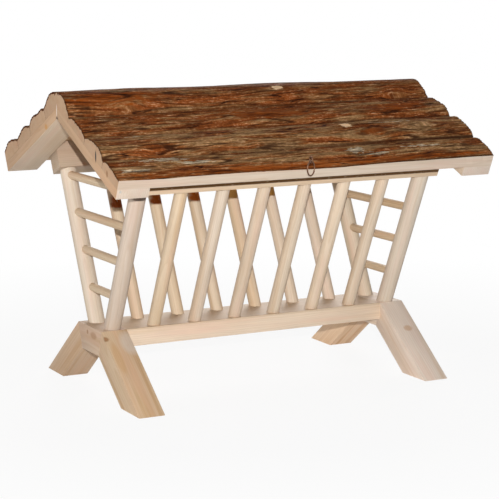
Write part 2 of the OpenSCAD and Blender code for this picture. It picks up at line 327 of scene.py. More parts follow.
def vector_node(tree, operation, a, b=(0, 0, 0)):
    return add_node(tree, "ShaderNodeVectorMath", {0: a, 1: b}, operation=operation).outputs


def mix_colour(tree, factor, a, b, blend="MIX"):
    inputs = {"Factor": factor, 6: a, 7: b}
    return add_node(tree, "ShaderNodeMix", inputs, data_type="RGBA", blend_type=blend).outputs[2]


def spread(tree, value, low, high, to_low=0.0, to_high=1.0):
    """value, taken from low..high to to_low..to_high and held there."""
    inputs = {0: value, 1: low, 2: high, 3: to_low, 4: to_high}
    return add_node(tree, "ShaderNodeMapRange", inputs, clamp=True).outputs[0]


def attribute(tree, name, output="Fac"):
    """What the mesh holds at each point under that name."""
    return add_node(tree, "ShaderNodeAttribute", attribute_name=name).outputs[output]


def stretched(tree, vector, along, across):
    """vector scaled for a texture along the grain, with cells of those sizes in metres."""
    scale = (1 / along, 1 / across, 1 / across)
    inputs = {"Vector": vector, "Scale": scale}
    return add_node(tree, "ShaderNodeMapping", inputs).outputs["Vector"]


def texture(tree, vector, detail=2.0, rough=0.5, scale=1.0):
    inputs = {"Vector": vector, "Scale": scale, "Detail": detail, "Roughness": rough}
    return add_node(tree, "ShaderNodeTexNoise", inputs).outputs["Fac"]


def near(tree, place, size):
    """1 round a point of the row frame, fading to 0 at size away from it, in millimetres."""
    where = add_node(tree, "ShaderNodeTexCoord").outputs["Object"]
    away = vector_node(tree, "SUBTRACT", where, place * MM)[0]
    scaled = vector_node(tree, "MULTIPLY", away, [1 / (s * MM) for s in size])[0]
    length = vector_node(tree, "LENGTH", scaled)["Value"]
    return spread(tree, length, 0.6, 1.0, 1.0, 0.0)


def new_material(name):
    material = bpy.data.materials.new(name)
    material.use_nodes = True
    tree = material.node_tree
    shader = tree.nodes["Principled BSDF"]
    return material, tree, shader


def set_bump(tree, shader, height, strength, distance):
    inputs = {"Strength": strength, "Distance": distance, "Height": height}
    bump = add_node(tree, "ShaderNodeBump", inputs)
    tree.links.new(bump.outputs[0], shader.inputs["Normal"])


# Materials
def late_wood(tree, grain):
    """The dark lines of the growth rings: 0 in early wood, rising towards each year's end."""
    wander = texture(tree, stretched(tree, grain, 0.16, 0.03))
    uneven = texture(tree, stretched(tree, grain, 1.0, 0.011), 1.0)
    split = add_node(tree, "ShaderNodeSeparateXYZ", {0: grain}).outputs
    across = add_node(tree, "ShaderNodeCombineXYZ", {"Y": split["Y"], "Z": split["Z"]})
    radius = vector_node(tree, "LENGTH", across.outputs[0])["Value"]
    radius = plus(tree, radius, times(tree, wander, 0.014))
    radius = plus(tree, radius, times(tree, uneven, 0.003))
    phase = math_node(tree, "FRACT", math_node(tree, "DIVIDE", radius, RING_GAP))
    rise = math_node(tree, "POWER", phase, 2.6)
    return times(tree, rise, spread(tree, phase, 0.9, 1.0, 1.0, 0.0))


def own_tint(tree, grain, fibre):
    """The piece's own tone and warmth, with blotches and fibres, to multiply its colour by."""
    blotch = texture(tree, stretched(tree, grain, 0.07, 0.03))
    tone = plus(tree, spread(tree, fibre, 0.25, 0.75, 0.94, 1.06), attribute(tree, "shade"))
    tone = plus(tree, tone, spread(tree, blotch, 0.3, 0.7, -0.03, 0.03))
    warmth = attribute(tree, "warmth")
    green = math_node(tree, "SUBTRACT", 1.0, times(tree, warmth, 0.05))
    blue = math_node(tree, "SUBTRACT", 1.0, times(tree, warmth, 0.16))
    parts = {"Red": tone, "Green": times(tree, tone, green), "Blue": times(tree, tone, blue)}
    return add_node(tree, "ShaderNodeCombineColor", parts).outputs[0]


def marked(tree, colour, grain, marks):
    """colour with the knots, stains and painted shade and shadows laid over it, each broken up a
    little by the grain.
    """
    for place, size, mark_colour, strength in marks:
        mask = near(tree, place, size)
        grainy = spread(tree, texture(tree, stretched(tree, grain, 0.006, 0.002)), 0.1, 0.4)
        mask = times(tree, mask, times(tree, grainy, strength))
        colour = mix_colour(tree, mask, colour, mark_colour)
    return colour


def wood(name, base, figure, marks=()):
    """Planed softwood in solid growth rings, read from the piece's own grain attribute.

    base is its colour on screen, and figure from 0 to 1 is how bold its broad streaks are.
    """
    material, tree, shader = new_material(name)
    grain = attribute(tree, "grain", "Vector")
    late = late_wood(tree, grain)
    fibre = texture(tree, stretched(tree, grain, 0.05, 0.0011), 3.0, 0.6)
    band = texture(tree, stretched(tree, grain, 0.3, 0.0085), 3.0)
    pink = texture(tree, stretched(tree, grain, 0.12, 0.013))
    ring_share = times(tree, late, 0.4)
    band_share = spread(tree, band, 0.48, 0.68, 0.0, figure)
    pink_share = spread(tree, pink, 0.5, 0.75, 0.0, 0.7)
    colour = mix_colour(tree, ring_share, srgb(*base), darker(base, 0.89, 0.82, 0.73))
    colour = mix_colour(tree, band_share, colour, darker(base, 0.9, 0.82, 0.71))
    colour = mix_colour(tree, pink_share, colour, darker(base, 1.0, 0.94, 0.93))
    colour = mix_colour(tree, 1.0, colour, own_tint(tree, grain, fibre), "MULTIPLY")
    colour = marked(tree, colour, grain, marks)
    tree.links.new(colour, shader.inputs["Base Color"])
    tree.links.new(spread(tree, fibre, 0.3, 0.7, 0.58, 0.72), shader.inputs["Roughness"])
    height = plus(tree, fibre, times(tree, late, 0.5))
    set_bump(tree, shader, height, 0.25, 0.3 * MM)
    shader.inputs["Specular IOR Level"].default_value = 0.3
    return material


def outer_bark(tree, hue, streak, strands):
    """Red where the bark is low, then brown and olive, with pale strands and lichen on it."""
    outer = plus(tree, times(tree, attribute(tree, "level"), 0.25), hue)
    outer = plus(tree, outer, times(tree, streak, 0.35))
    colour = mix_colour(tree, spread(tree, outer, 0.70, 0.84), BARK_RED, BARK_BROWN)
    colour = mix_colour(tree, spread(tree, outer, 0.84, 1.0), colour, BARK_OLIVE)
    colour = mix_colour(tree, spread(tree, strands, 1.1, 1.35, 0.0, 0.7), colour, BARK_PALE)
    ragged = plus(tree, attribute(tree, "lichen"), times(tree, strands, 1.2))
    colour = mix_colour(tree, spread(tree, ragged, 1.8, 2.2, 0.0, 0.9), colour, BARK_LICHEN)
    tone = spread(tree, strands, 0.75, 1.35, 0.34, 1.66)
    tint = add_node(tree, "ShaderNodeCombineColor", {"Red": tone, "Green": tone, "Blue": tone})
    return mix_colour(tree, 1.0, colour, tint.outputs[0], "MULTIPLY")


def bark_gaps(tree, thread, hue):
    """How dark it is: in the relief's furrows, where it is partly the bark's own dark and partly
    painted shade, along thin threads between them, and as painted shade along the seams.
    """
    line = math_node(tree, "ABSOLUTE", math_node(tree, "SUBTRACT", thread, 0.5))
    threads = spread(tree, line, 0.008, 0.032, 1.0, 0.0)
    threads = times(tree, threads, spread(tree, hue, 0.42, 0.6, 1.0, 0.2))
    return math_node(tree, "MAXIMUM", times(tree, attribute(tree, "bark_dark_and_shade"), 0.9), threads)


def bark_material():
    """Flaky bark. Its attributes come from the slab's own relief, and flow follows its fibres."""
    material, tree, shader = new_material("bark")
    flow = attribute(tree, "flow", "Vector")
    hue = texture(tree, stretched(tree, flow, 0.07, 0.012), 3.0)
    streak = texture(tree, stretched(tree, flow, 0.02, 0.0036), 5.0, 0.7)
    fine = texture(tree, stretched(tree, flow, 0.0045, 0.0016), 3.0, 0.7)
    thread = texture(tree, stretched(tree, flow, 0.11, 0.0062), 3.0)
    strands = plus(tree, fine, times(tree, streak, 1.1))
    worn = times(tree, attribute(tree, "worn"), spread(tree, streak, 0.3, 0.5, 0.4, 0.85))
    bare = spread(tree, attribute(tree, "bare"), 0.25, 0.5)
    colour = outer_bark(tree, hue, streak, strands)
    colour = mix_colour(tree, worn, colour, BARK_ORANGE)
    colour = mix_colour(tree, bark_gaps(tree, thread, hue), colour, BARK_DARK)
    colour = mix_colour(tree, bare, colour, BARK_BARE)
    tree.links.new(colour, shader.inputs["Base Color"])
    tree.links.new(spread(tree, streak, 0.3, 0.7, 0.74, 0.92), shader.inputs["Roughness"])
    set_bump(tree, shader, plus(tree, fine, times(tree, streak, 1.5)), 1.0, 0.9 * MM)
    shader.inputs["Specular IOR Level"].default_value = 0.05
    return material


def metal(name, colour, roughness):
    material, tree, shader = new_material(name)
    where = add_node(tree, "ShaderNodeTexCoord").outputs["Object"]
    cloudy = texture(tree, where, 3.0, 0.6, scale=400.0)
    tinted = mix_colour(tree, spread(tree, cloudy, 0.35, 0.7, 0.0, 0.5), colour, TARNISH)
    rough = spread(tree, cloudy, 0.3, 0.7, roughness, roughness + 0.15)
    tree.links.new(tinted, shader.inputs["Base Color"])
    tree.links.new(rough, shader.inputs["Roughness"])
    shader.inputs["Metallic"].default_value = 1.0
    return material


# Meshes
rng = np.random.default_rng(11)
ROD_SIDES = 48
# Millimetres from one ring of a rod's points to the next, and how far its surface wanders inwards
ROD_STEP = 8
ROD_WANDER = 0.06
FIRST_ROD_SEED = 100
# How much of each bar's edges is eased off
BEAM_EASE = 0.7
YOKE_EASE = 0.5
LEG_EASE = 0.6
RAIL_EASE = 0.6
BATTEN_EASE = 0.5
# How near to a piece the middle of its log may be, and how far
PITH_DISTANCE = (25, 70)
# How much lighter or darker than its wood a piece may be
OWN_SHADE = (-0.03, 0.03)
# Faces that meet at more than these angles keep a sharp edge
WOOD_SHARP = math.radians(28)
SLAB_SHARP = math.radians(50)


def mesh_from(bm, name):
    bmesh.ops.recalc_face_normals(bm, faces=bm.faces)
    mesh = bpy.data.meshes.new(name)
    bm.to_mesh(mesh)
    bm.free()
    return mesh


def prism(name, low, high, ease):
    """A bar between two outlines of the same points, with its edges eased."""
    bm = bmesh.new()
    rings = [[bm.verts.new(p * MM) for p in outline] for outline in (low, high)]
    for ring in rings:
        bm.faces.new(ring)
    for i in range(len(low)):
        j = (i + 1) % len(low)
        bm.faces.new((rings[0][i], rings[0][j], rings[1][j], rings[1][i]))
    bmesh.ops.bevel(
        bm, geom=bm.edges[:], offset=ease * MM, segments=2, profile=0.6, affect="EDGES"
    )
    return mesh_from(bm, name)


def rod(name, start, end, diameter, seed=None):
    """A round bar. With a seed its surface wanders inwards by a few hundredths of a millimetre."""
    turn = (end - start).normalized().to_track_quat("Z", "Y")
    length = (end - start).length
    steps = max(2, round(length / ROD_STEP))
    angle = np.arange(ROD_SIDES) * 2 * math.pi / ROD_SIDES
    bm = bmesh.new()
    rings = []
    for k in range(steps + 1):
        up = length * k / steps
        radius = np.full(ROD_SIDES, diameter / 2)
        if seed is not None:
            bumps = noise(np.full(ROD_SIDES, up / 40), 3 * np.cos(angle) + 5, seed)
            radius -= ROD_WANDER * (1 + bumps)
        ring = []
        for a, r in zip(angle, radius):
            place = start + turn @ Vector((r * math.cos(a), r * math.sin(a), up))
            ring.append(bm.verts.new(place * MM))
        rings.append(ring)
    bm.faces.new(rings[0])
    bm.faces.new(rings[-1])
    for low, high in zip(rings, rings[1:]):
        for i in range(ROD_SIDES):
            j = (i + 1) % ROD_SIDES
            bm.faces.new((low[i], low[j], high[j], high[i]))
    return mesh_from(bm, name)


def bored(mesh, bars):
    """mesh with a round hole where each of the bars (start, end, diameter) goes in."""
    cutter = bmesh.new()
    for bar in bars:
        one = rod("cutter", *bar)
        cutter.from_mesh(one)
        bpy.data.meshes.remove(one)
    holes = bpy.data.objects.new("holes", mesh_from(cutter, "holes"))
    body = bpy.data.objects.new("body", mesh)
    for item in (holes, body):
        bpy.context.scene.collection.objects.link(item)
    cut = body.modifiers.new("cut", "BOOLEAN")
    cut.operation = "DIFFERENCE"
    cut.solver = "EXACT"
    cut.object = holes
    depsgraph = bpy.context.evaluated_depsgraph_get()
    result = bpy.data.meshes.new_from_object(body.evaluated_get(depsgraph))
    result.name = mesh.name
    for item in (holes, body):
        bpy.data.objects.remove(item)
    return result


def write_numbers(mesh, name, values):
    """Gives each point of the mesh a number under that name."""
    data = mesh.attributes.new(name, "FLOAT", "POINT").data
    data.foreach_set("value", values.astype(np.float32).ravel())


def write_vectors(mesh, name, values):
    """Gives each point of the mesh a vector under that name."""
    data = mesh.attributes.new(name, "FLOAT_VECTOR", "POINT").data
    data.foreach_set("vector", values.astype(np.float32).ravel())


def set_grain(mesh, origin, along, pith, shade, warmth=0.0):
    """Writes where each point lies in the piece's own log, and the piece's own tone and warmth."""
    co = np.empty(len(mesh.vertices) * 3)
    mesh.vertices.foreach_get("co", co)
    points = co.reshape(-1, 3) - np.array(origin) * MM
    third = along.cross(Vector((0, 0, 1)) if abs(along.z) < 0.7 else ALONG_X)
    third.normalize()
    across = third.cross(along)
    grain = np.stack(
        [
            points @ np.array(along) + rng.uniform(-1, 1),
            points @ np.array(across) + pith[0] * MM,
            points @ np.array(third) + pith[1] * MM,
        ],
        axis=1,
    )
    write_vectors(mesh, "grain", grain)
    write_numbers(mesh, "shade", np.full(len(points), shade))
    write_numbers(mesh, "warmth", np.full(len(points), warmth))


def make_piece(node, mesh, body, slot, *materials):
    """Puts a mesh in the place of the CAD node of the same name."""
    piece = bpy.data.objects.new(node + "_finished", mesh)
    bpy.context.scene.collection.objects.link(piece)
    for material in materials:
        mesh.materials.append(material)
    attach(piece, body)
    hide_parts(node)
    return piece


def wood_of(node):
    """The wood whose name in WOODS is the start of the node's name."""
    return next(material for start, material in woods.items() if node.startswith(start))


def wooden(node, mesh, body, slot, origin, along):
    """A straight-grained piece, cut at a random place from its own log."""
    for polygon in mesh.polygons:
        polygon.use_smooth = True
    mesh.set_sharp_from_angle(angle=WOOD_SHARP)
    angle = rng.uniform(0, 2 * math.pi)
    distance = rng.uniform(*PITH_DISTANCE)
    pith = (distance * math.cos(angle), distance * math.sin(angle))
    warmth = TINTS.get(node, rng.uniform(-1, 1) * LOOSE_TINTS[slot])
    set_grain(mesh, origin, along, pith, rng.uniform(*OWN_SHADE), warmth)
    return make_piece(node, mesh, body, slot, wood_of(node))


# The rack. Each bar is its start, its end and its diameter.
def slat_bar(side, i):
    x = slat_x(i)
    top = SLAT_FREE + DOWEL_IN_RAIL
    return on_slats(side, x, 0, -SLAT_IN_BEAM), on_slats(side, x, 0, top), SLAT_D


def post_bar(side, end):
    x = end * POST_X
    top = SLAT_FREE + DOWEL_IN_RAIL
    return on_slats(side, x, 0, -POST_IN_YOKE), on_slats(side, x, 0, top), POST_D


def rung_bar(end, i):
    z = RUNG_FIRST_Z + (i - 1) * RUNG_PITCH
    x = end * POST_X
    return on_side(BACK, x, -slat_y(z), z), on_side(BACK, x, slat_y(z), z), RUNG_D


def beam_dowel_bar(end):
    z = BEAM_TOP - BEAM_THICKNESS / 2
    inner, outer = (end * (BEAM_LENGTH + s * BEAM_DOWEL_LENGTH) / 2 for s in (-1, 1))
    return on_side(BACK, inner, 0, z), on_side(BACK, outer, 0, z), BEAM_DOWEL_D


def add_rod(node, bar, seed, cuts=()):
    """A slat, post or rung, bored where the bars in cuts go into it."""
    start, end, _ = bar
    mesh = rod(node, *bar, seed=seed)
    if cuts:
        mesh = bored(mesh, cuts)
    wooden(node, mesh, "rack", "dowel_wood", start, (end - start).normalized())


def bar_along_x(name, outline, x_low, x_high, place, ease):
    """outline holds pairs that place(x, first, second) turns into points."""
    low, high = ([place(x, *pair) for pair in outline] for x in (x_low, x_high))
    return prism(name, low, high, ease)


def build_beam():
    half = BEAM_WIDTH / 2
    low_z = BEAM_TOP - BEAM_THICKNESS
    outline = [(-half, low_z), (half, low_z), (half, BEAM_TOP), (-half, BEAM_TOP)]
    x_low, x_high = -BEAM_LENGTH / 2, BEAM_LENGTH / 2
    place = partial(on_side, BACK)
    mesh = bar_along_x("base_beam", outline, x_low, x_high, place, BEAM_EASE)
    slats = [slat_bar(side, i) for side in SIDES.values() for i in SLATS]
    dowels = [beam_dowel_bar(end) for end in ENDS.values()]
    mesh = bored(mesh, slats + dowels)
    wooden("base_beam", mesh, "rack", "sawn_wood", Vector(), ALONG_X)


def build_end_frames():
    for end_name, end in ENDS.items():
        x_low, x_high = end * FRAME_X - LEG_WIDTH / 2, end * FRAME_X + LEG_WIDTH / 2
        build_yoke(end_name, end, x_low, x_high)
        for side_name, side in SIDES.items():
            build_leg(f"leg_{side_name}_{end_name}", side, x_low, x_high)


def build_yoke(end_name, end, x_low, x_high):
    crotch_z = BEAM_TOP - LEG_STOCK
    outline = [
        (-CROTCH_HALF, crotch_z),
        (CROTCH_HALF, crotch_z),
        (YOKE_TOP_HALF, BEAM_TOP),
        (-YOKE_TOP_HALF, BEAM_TOP),
    ]
    name = "yoke_" + end_name
    mesh = bar_along_x(name, outline, x_low, x_high, partial(on_side, BACK), YOKE_EASE)
    posts = [post_bar(side, end) for side in SIDES.values()]
    mesh = bored(mesh, posts + [beam_dowel_bar(end)])
    wooden(name, mesh, "rack", "sawn_wood", Vector(), ALONG_Y)


def build_leg(name, side, x_low, x_high):
    crotch_z = BEAM_TOP - LEG_STOCK
    run = 1 / math.tan(LEG_SLOPE)
    outline = [
        (CROTCH_HALF, crotch_z),
        (YOKE_TOP_HALF, BEAM_TOP),
        (YOKE_TOP_HALF + BEAM_TOP * run, 0),
        (CROTCH_HALF + crotch_z * run, 0),
    ]
    mesh = bar_along_x(name, outline, x_low, x_high, partial(on_side, side), LEG_EASE)
    along = Vector((0, side * math.cos(LEG_SLOPE), -math.sin(LEG_SLOPE)))
    origin = on_side(side, x_low, CROTCH_HALF, crotch_z)
    wooden(name, mesh, "rack", "sawn_wood", origin, along)


def build_rails():
    half = RAIL_THICKNESS / 2
    x_low, x_high = -RAIL_LENGTH / 2, RAIL_LENGTH / 2
    for side_name, side in SIDES.items():
        outline = [
            (-half, SLAT_FREE),
            (half, SLAT_FREE),
            (half, rail_top(side, half)),
            (-half, rail_top(side, -half)),
        ]
        name = "top_rail_" + side_name
        mesh = bar_along_x(name, outline, x_low, x_high, partial(on_slats, side), RAIL_EASE)
        slats = [slat_bar(side, i) for i in SLATS]
        posts = [post_bar(side, end) for end in ENDS.values()]
        mesh = bored(mesh, slats + posts)
        wooden(name, mesh, "rack", "sawn_wood", Vector(), ALONG_X)


def build_rods():
    seed = FIRST_ROD_SEED
    for side_name, side in SIDES.items():
        for i in SLATS:
            seed += 1
            add_rod(f"slat_{side_name}_{i}", slat_bar(side, i), seed)
        for end_name, end in ENDS.items():
            seed += 1
            rungs = [rung_bar(end, i) for i in RUNGS]
            add_rod(f"post_{side_name}_{end_name}", post_bar(side, end), seed, rungs)
    for end_name, end in ENDS.items():
        for i in RUNGS:
            seed += 1
            add_rod(f"rung_{end_name}_{i}", rung_bar(end, i), seed)


# The roof
# Each slab's gable outline as (run, rise) points from its upper edge to its lower one
SLAB_OUTLINES = {
    (FRONT, LEFT): [
        [(-6.9, 15.9), (-1.9, 17.9), (10.5, 20), (21, 18.1), (27.4, 13.9), (33.8, 9.8),
         (35.7, 7.9)],
        [(36.3, 6.8), (46.5, 10.3), (58.7, 11.9), (69.8, 11.6), (77.8, 11), (84.9, 8.8),
         (87.2, 7.4)],
        [(87.8, 8.5), (95.9, 12.3), (106.9, 15.8), (118.4, 17.2), (127.8, 16.3), (134.6, 14.1),
         (139, 10.9), (141.2, 9.4)],
        [(141.8, 9.8), (152.6, 13.3), (161.5, 13.5), (170.5, 12.9), (179.5, 12.2), (187, 11.6)],
    ],
    (FRONT, RIGHT): [
        [(-6.9, 15.9), (-1, 18), (5, 18.8), (13.5, 17.4), (22, 16.1), (32, 11.7), (35.7, 9.8)],
        [(36.3, 9.6), (40, 13.4), (51, 16.3), (63, 18.1), (72, 18.4), (80, 16.5), (87.2, 11.8)],
        [(87.8, 12.2), (94.5, 16.8), (103, 19), (112, 19.8), (121.5, 19.5), (131.5, 18.1),
         (139.4, 15), (141.2, 13.4)],
        [(141.8, 12.6), (148, 16), (155, 17.4), (166, 17.5), (178, 16.4), (187, 12.8)],
    ],
    (BACK, LEFT): [
        [(-7.1, 15.7), (-0.6, 18.6), (10.6, 21.1), (21.6, 20.5), (31, 16.6), (38.7, 13.8)],
        [(39.3, 12.8), (51, 16.6), (61, 15.5), (71, 17.4), (82, 17.8), (89, 15.4), (93.7, 12.2)],
        [(94.3, 11.8), (104, 15.7), (117, 17.6), (127, 16.2), (134, 13.7), (141.2, 11.4)],
        [(141.8, 11.8), (151, 16.2), (165, 19.2), (180, 18.6), (188, 15.6), (191.5, 13.6)],
    ],
    (BACK, RIGHT): [
        [(-7.1, 15.7), (2, 18.4), (13, 20.2), (24, 18.8), (33, 14.8), (38.7, 12.8)],
        [(39.3, 11.8), (50, 15.5), (63, 18), (76, 17.6), (86, 15), (93.7, 11.6)],
        [(94.3, 11.5), (104, 15.2), (115, 17.2), (126, 17), (135, 14.2), (141.2, 11.2)],
        [(141.8, 11.5), (152, 16), (164, 18.6), (177, 18.2), (187, 15.4), (191.5, 13.4)],
    ],
}
# Millimetres between the points of a slab's skin, along the ridge and across the slab
STATION_STEP = 1.5
PROFILE_STEP = 0.95
# How thick the bark shows at the ends of the slabs
BARK_RIM = {FRONT: 1.1, BACK: 2.1}
BARK, SAWN, END_GRAIN, UNDERSIDE = range(4)
# How much greyer the bark of each slab is than the average, from the ridge to the eave
GREYNESS = [-0.1, -0.05, 0.4, 0.3]
# The least depth of each slab's bark below its even surface, from the ridge to the eave
LEAST_DEPTH = [0.02, -0.7, -0.7, -0.7]
# Where a slab bulges or sinks between its ends, in millimetres: (x, run), (half length,
# half width) and height
SWELLS = {
    (BACK, 0): [((-150, 12), (80, 8), 2.7), ((50, 12), (95, 8), 3.4)],
    (FRONT, 3): [
        ((-190, 187), (50, 9), -1.3),
        ((-60, 187), (40, 9), -0.5),
        ((18, 187), (50, 9), -2.1),
        ((200, 187), (40, 9), 0.9),
    ],
}
# Knots in millimetres: x, run and radius
FRONT_KNOTS = [
    (-158, 31, 6),
    (-169, 129, 5),
    (189, 30, 6),
    (103, 124, 6),
    (174, 114, 7),
    (-65, 127, 4),
]
BACK_KNOTS = [(-90, 20, 6), (120, 66, 7), (-30, 112, 5), (60, 160, 6), (-180, 150, 6)]
KNOTS = {FRONT: FRONT_KNOTS, BACK: BACK_KNOTS}
# Patches in millimetres: kind, (x, run) and (half length, half width)
FRONT_PATCHES = [
    ("worn", (-180, 16), (66, 11)),
    ("worn", (0, 62), (70, 13)),
    ("worn", (178, 66), (34, 9)),
    ("worn", (106, 123), (22, 7)),
    ("worn", (-60, 181), (200, 6)),
    ("worn", (130, 181), (110, 4)),
    ("bare", (36, 8), (9, 5)),
    ("bare", (77.5, 107.2), (7.5, 5)),
    ("lichen", (-170, 152), (34, 6)),
    ("lichen", (-135, 162), (24, 4.5)),
    ("lichen", (-207, 171), (22, 3.5)),
    ("lichen", (63, 160), (13, 7)),
    ("lichen", (84, 170), (24, 5)),
    ("lichen", (150, 160), (34, 2)),
    ("lichen", (130, 104), (40, 1.6)),
    ("lichen", (-185, 102), (34, 1.4)),
]
PATCHES = {FRONT: FRONT_PATCHES, BACK: []}
# What the colour of the bark reads from a slab, on the faces below its skin and at its two ends.
# Below the skin this darkens the side walls in the seams, partly as the bark of the slab's sides
# and partly as painted shade.
BELOW = {"level": 0.1, "bark_dark_and_shade": 0.9}
RIM = {"level": 0.1, "bark_dark_and_shade": 0.75}
# The seeds of the slabs' noise and of the patches' noise, and the step from one to the next
SLAB_SEED = {FRONT: 1000, BACK: 1400}
SLAB_SEED_STEP = 40
PATCH_SEED = 3000
PATCH_SEED_STEP = 10
# Keeps the colours of two slabs from being the same at the same place
SLAB_OFFSET = 37.0
# Where the middle of a slab's log lies, across it and below it, and how dark its sawn faces are
SLAB_PITH = ((-8, 8), (30, 45))
SLAB_SHADE = (-0.12, -0.06)
# The painted shade along the seams and the dark of the slabs' ends fade out between these distances
# from the edge
SEAM_SHADE_FADE = (1.2, 3.4)
END_FADE = (0.3, 2.0)
# The seams' painted shade is fainter at the left: from none to full at these shares of the roof
# from its middle
SEAM_SHADE_RISE = (-0.7, 0.4)


def flowing(points, count):
    """count places evenly along a smooth curve through the points, and the curve's length."""
    p = np.array(points, float)
    at = np.concatenate([[0], np.cumsum(np.hypot(*np.diff(p, axis=0).T))])
    slopes = np.gradient(p, at, axis=0)
    fine = np.linspace(0, at[-1], 400)
    k = np.clip(np.searchsorted(at, fine, side="right") - 1, 0, len(at) - 2)
    width = (at[k + 1] - at[k])[:, None]
    t = (fine[:, None] - at[k][:, None]) / width
    curve = (
        (2 * t**3 - 3 * t**2 + 1) * p[k]
        + (t**3 - 2 * t**2 + t) * width * slopes[k]
        + (3 * t**2 - 2 * t**3) * p[k + 1]
        + (t**3 - t**2) * width * slopes[k + 1]
    )
    along = np.concatenate([[0], np.cumsum(np.hypot(*np.diff(curve, axis=0).T))])
    even = np.linspace(0, along[-1], count)
    return np.stack([np.interp(even, along, curve[:, i]) for i in range(2)], axis=1), along[-1]


def fibres(x, run, knots, seed):
    """Place across the bark's fibres in mm. They wander, and part round the knots."""
    across = run + 3.5 * noise(x / 130, run / 45, seed) + 1.1 * noise(x / 34, run / 13, seed + 1)
    for knot_x, knot_run, radius in knots:
        off = run - knot_run
        near_knot = np.exp(-((x - knot_x) / (3.5 * radius)) ** 2 - (off / (3 * radius)) ** 2)
        across = across - radius * np.tanh(off / radius) * near_knot
    return across


def bark_relief(x, across, seed):
    """How far the bark lies below its outer face in mm, with how whole and how dark it is.

    What x and across are divided by is the size of each noise's cells, in millimetres.
    """
    wide = np.abs(noise(x / 105, across / 7.5, seed + 2))
    narrow = np.abs(noise(x / 60, across / 3.8, seed + 3))
    open_wide = smooth(noise(x / 60, across / 10, seed + 4), -0.45, 0.25)
    open_narrow = smooth(noise(x / 40, across / 7, seed + 5), -0.2, 0.4)
    furrow = (1 - smooth(wide, 0.03, 0.17)) * open_wide
    groove = (1 - smooth(narrow, 0.03, 0.24)) * open_narrow
    flakes = noise(x / 60, across / 5, seed + 6) + 0.7 * noise(x / 30, across / 2.3, seed + 7)
    whole = smooth(flakes, -0.75, 0.75)
    depth = 1.1 * furrow + 0.5 * groove + 0.8 * (1 - whole)
    return depth, whole, np.maximum(furrow, 0.75 * groove)


def patch(x, run, place, size, seed):
    """1 inside a ragged patch of bark and 0 outside it. place and size are (x, run) in mm."""
    ragged = 0.5 * noise(x / 11, run / 2.8, seed) + 0.35 * noise(x / 4.5, run / 1.3, seed + 1)
    away = np.hypot((x - place[0]) / size[0], (run - place[1]) / size[1]) + ragged
    return 1 - smooth(away, 0.55, 1.15)


def slab_surface(side, index, seed):
    """Stations along the ridge, with the bark's even surface and its normals as (run, rise)."""
    left, right = (SLAB_OUTLINES[side, end][index] for end in ENDS.values())
    length = max(flowing(points, 2)[1] for points in (left, right))
    count = round(length / PROFILE_STEP)
    stations = round(ROOF_LENGTH / STATION_STEP) + 1
    x = np.linspace(-ROOF_LENGTH / 2, ROOF_LENGTH / 2, stations)
    way = smooth(x / ROOF_LENGTH + 0.5 + 0.12 * noise(x / 80, 0 * x, seed + 20), 0.0, 1.0)
    way = way[:, None, None]
    start, finish = (flowing(points, count)[0] for points in (left, right))
    base = start * (1 - way) + finish * way
    tangent = np.gradient(base, axis=1)
    tangent /= np.linalg.norm(tangent, axis=2, keepdims=True)
    return x, base, np.stack([-tangent[..., 1], tangent[..., 0]], axis=2)


def edge_distance(run):
    """How far each point is from the nearer long edge of its slab."""
    return np.minimum(run - run[:, :1], run[:, -1:] - run)


def bark_fields(side, index, xs, run, whole, dark):
    """What the bark's colour reads at each point: its level, how dark it is with painted shade
    along the seams, and its patches.
    """
    seam = 1 - smooth(edge_distance(run), *SEAM_SHADE_FADE)
    end = 1 - smooth(ROOF_LENGTH / 2 - np.abs(xs), *END_FADE)
    dark = np.maximum(dark, seam * smooth(xs / ROOF_LENGTH, *SEAM_SHADE_RISE))
    dark = np.maximum(dark, 0.9 * end)
    fields = {"level": whole + GREYNESS[index], "bark_dark_and_shade": dark}
    for kind in ("lichen", "bare", "worn"):
        fields[kind] = np.zeros_like(run)
    for k, (kind, place, size) in enumerate(PATCHES[side]):
        inside = patch(xs, run, place, size, PATCH_SEED + PATCH_SEED_STEP * k)
        fields[kind] = np.maximum(fields[kind], inside)
    return fields


def skin_depth(side, index, xs, run, depth, worn, seed):
    """The bark's depth below the slab's even surface, with its swells, and none at the edges."""
    depth = depth + 0.4 * worn - 0.5
    uneven = 0.6 * noise(xs / 60, run / 20, seed + 21)
    depth = (depth - uneven) * smooth(edge_distance(run), -3, 6)
    depth = np.maximum(depth, LEAST_DEPTH[index])
    for place, size, height in SWELLS.get((side, index), ()):
        away = ((xs - place[0]) / size[0]) ** 2 + ((run - place[1]) / size[1]) ** 2
        depth = depth - height * np.exp(-away)
    return depth


def build_slab(side_name, side, index):
    node = f"slab_{side_name}_{index + 1}"
    seed = SLAB_SEED[side] + SLAB_SEED_STEP * index
    x, base, normal = slab_surface(side, index, seed)
    run = base[..., 0]
    xs = np.broadcast_to(x[:, None], run.shape)
    across = fibres(xs, run, KNOTS[side], seed)
    depth, whole, dark = bark_relief(xs, across, seed)
    fields = bark_fields(side, index, xs, run, whole, dark)
    depth = skin_depth(side, index, xs, run, depth, fields["worn"], seed)
    skin = base - normal * depth[..., None]
    skin[..., 0] = np.clip(skin[..., 0], None, SLAB_EDGES[side][index + 1])
    flow = np.stack([xs, across, np.full_like(run, SLAB_OFFSET * index)], axis=2)
    mesh = slab_mesh(node, side, index, x, skin, normal, fields, flow, seed)
    middle = on_slope(side, 0, float(run.mean()), 0)
    pith = [rng.uniform(*reach) for reach in SLAB_PITH]
    set_grain(mesh, middle, ALONG_X, pith, rng.uniform(*SLAB_SHADE))
    sawn = (woods[name] for name in ("slab", "end_grain", "slab_under"))
    make_piece(node, mesh, "roof", "bark_slab", bark, *sawn)


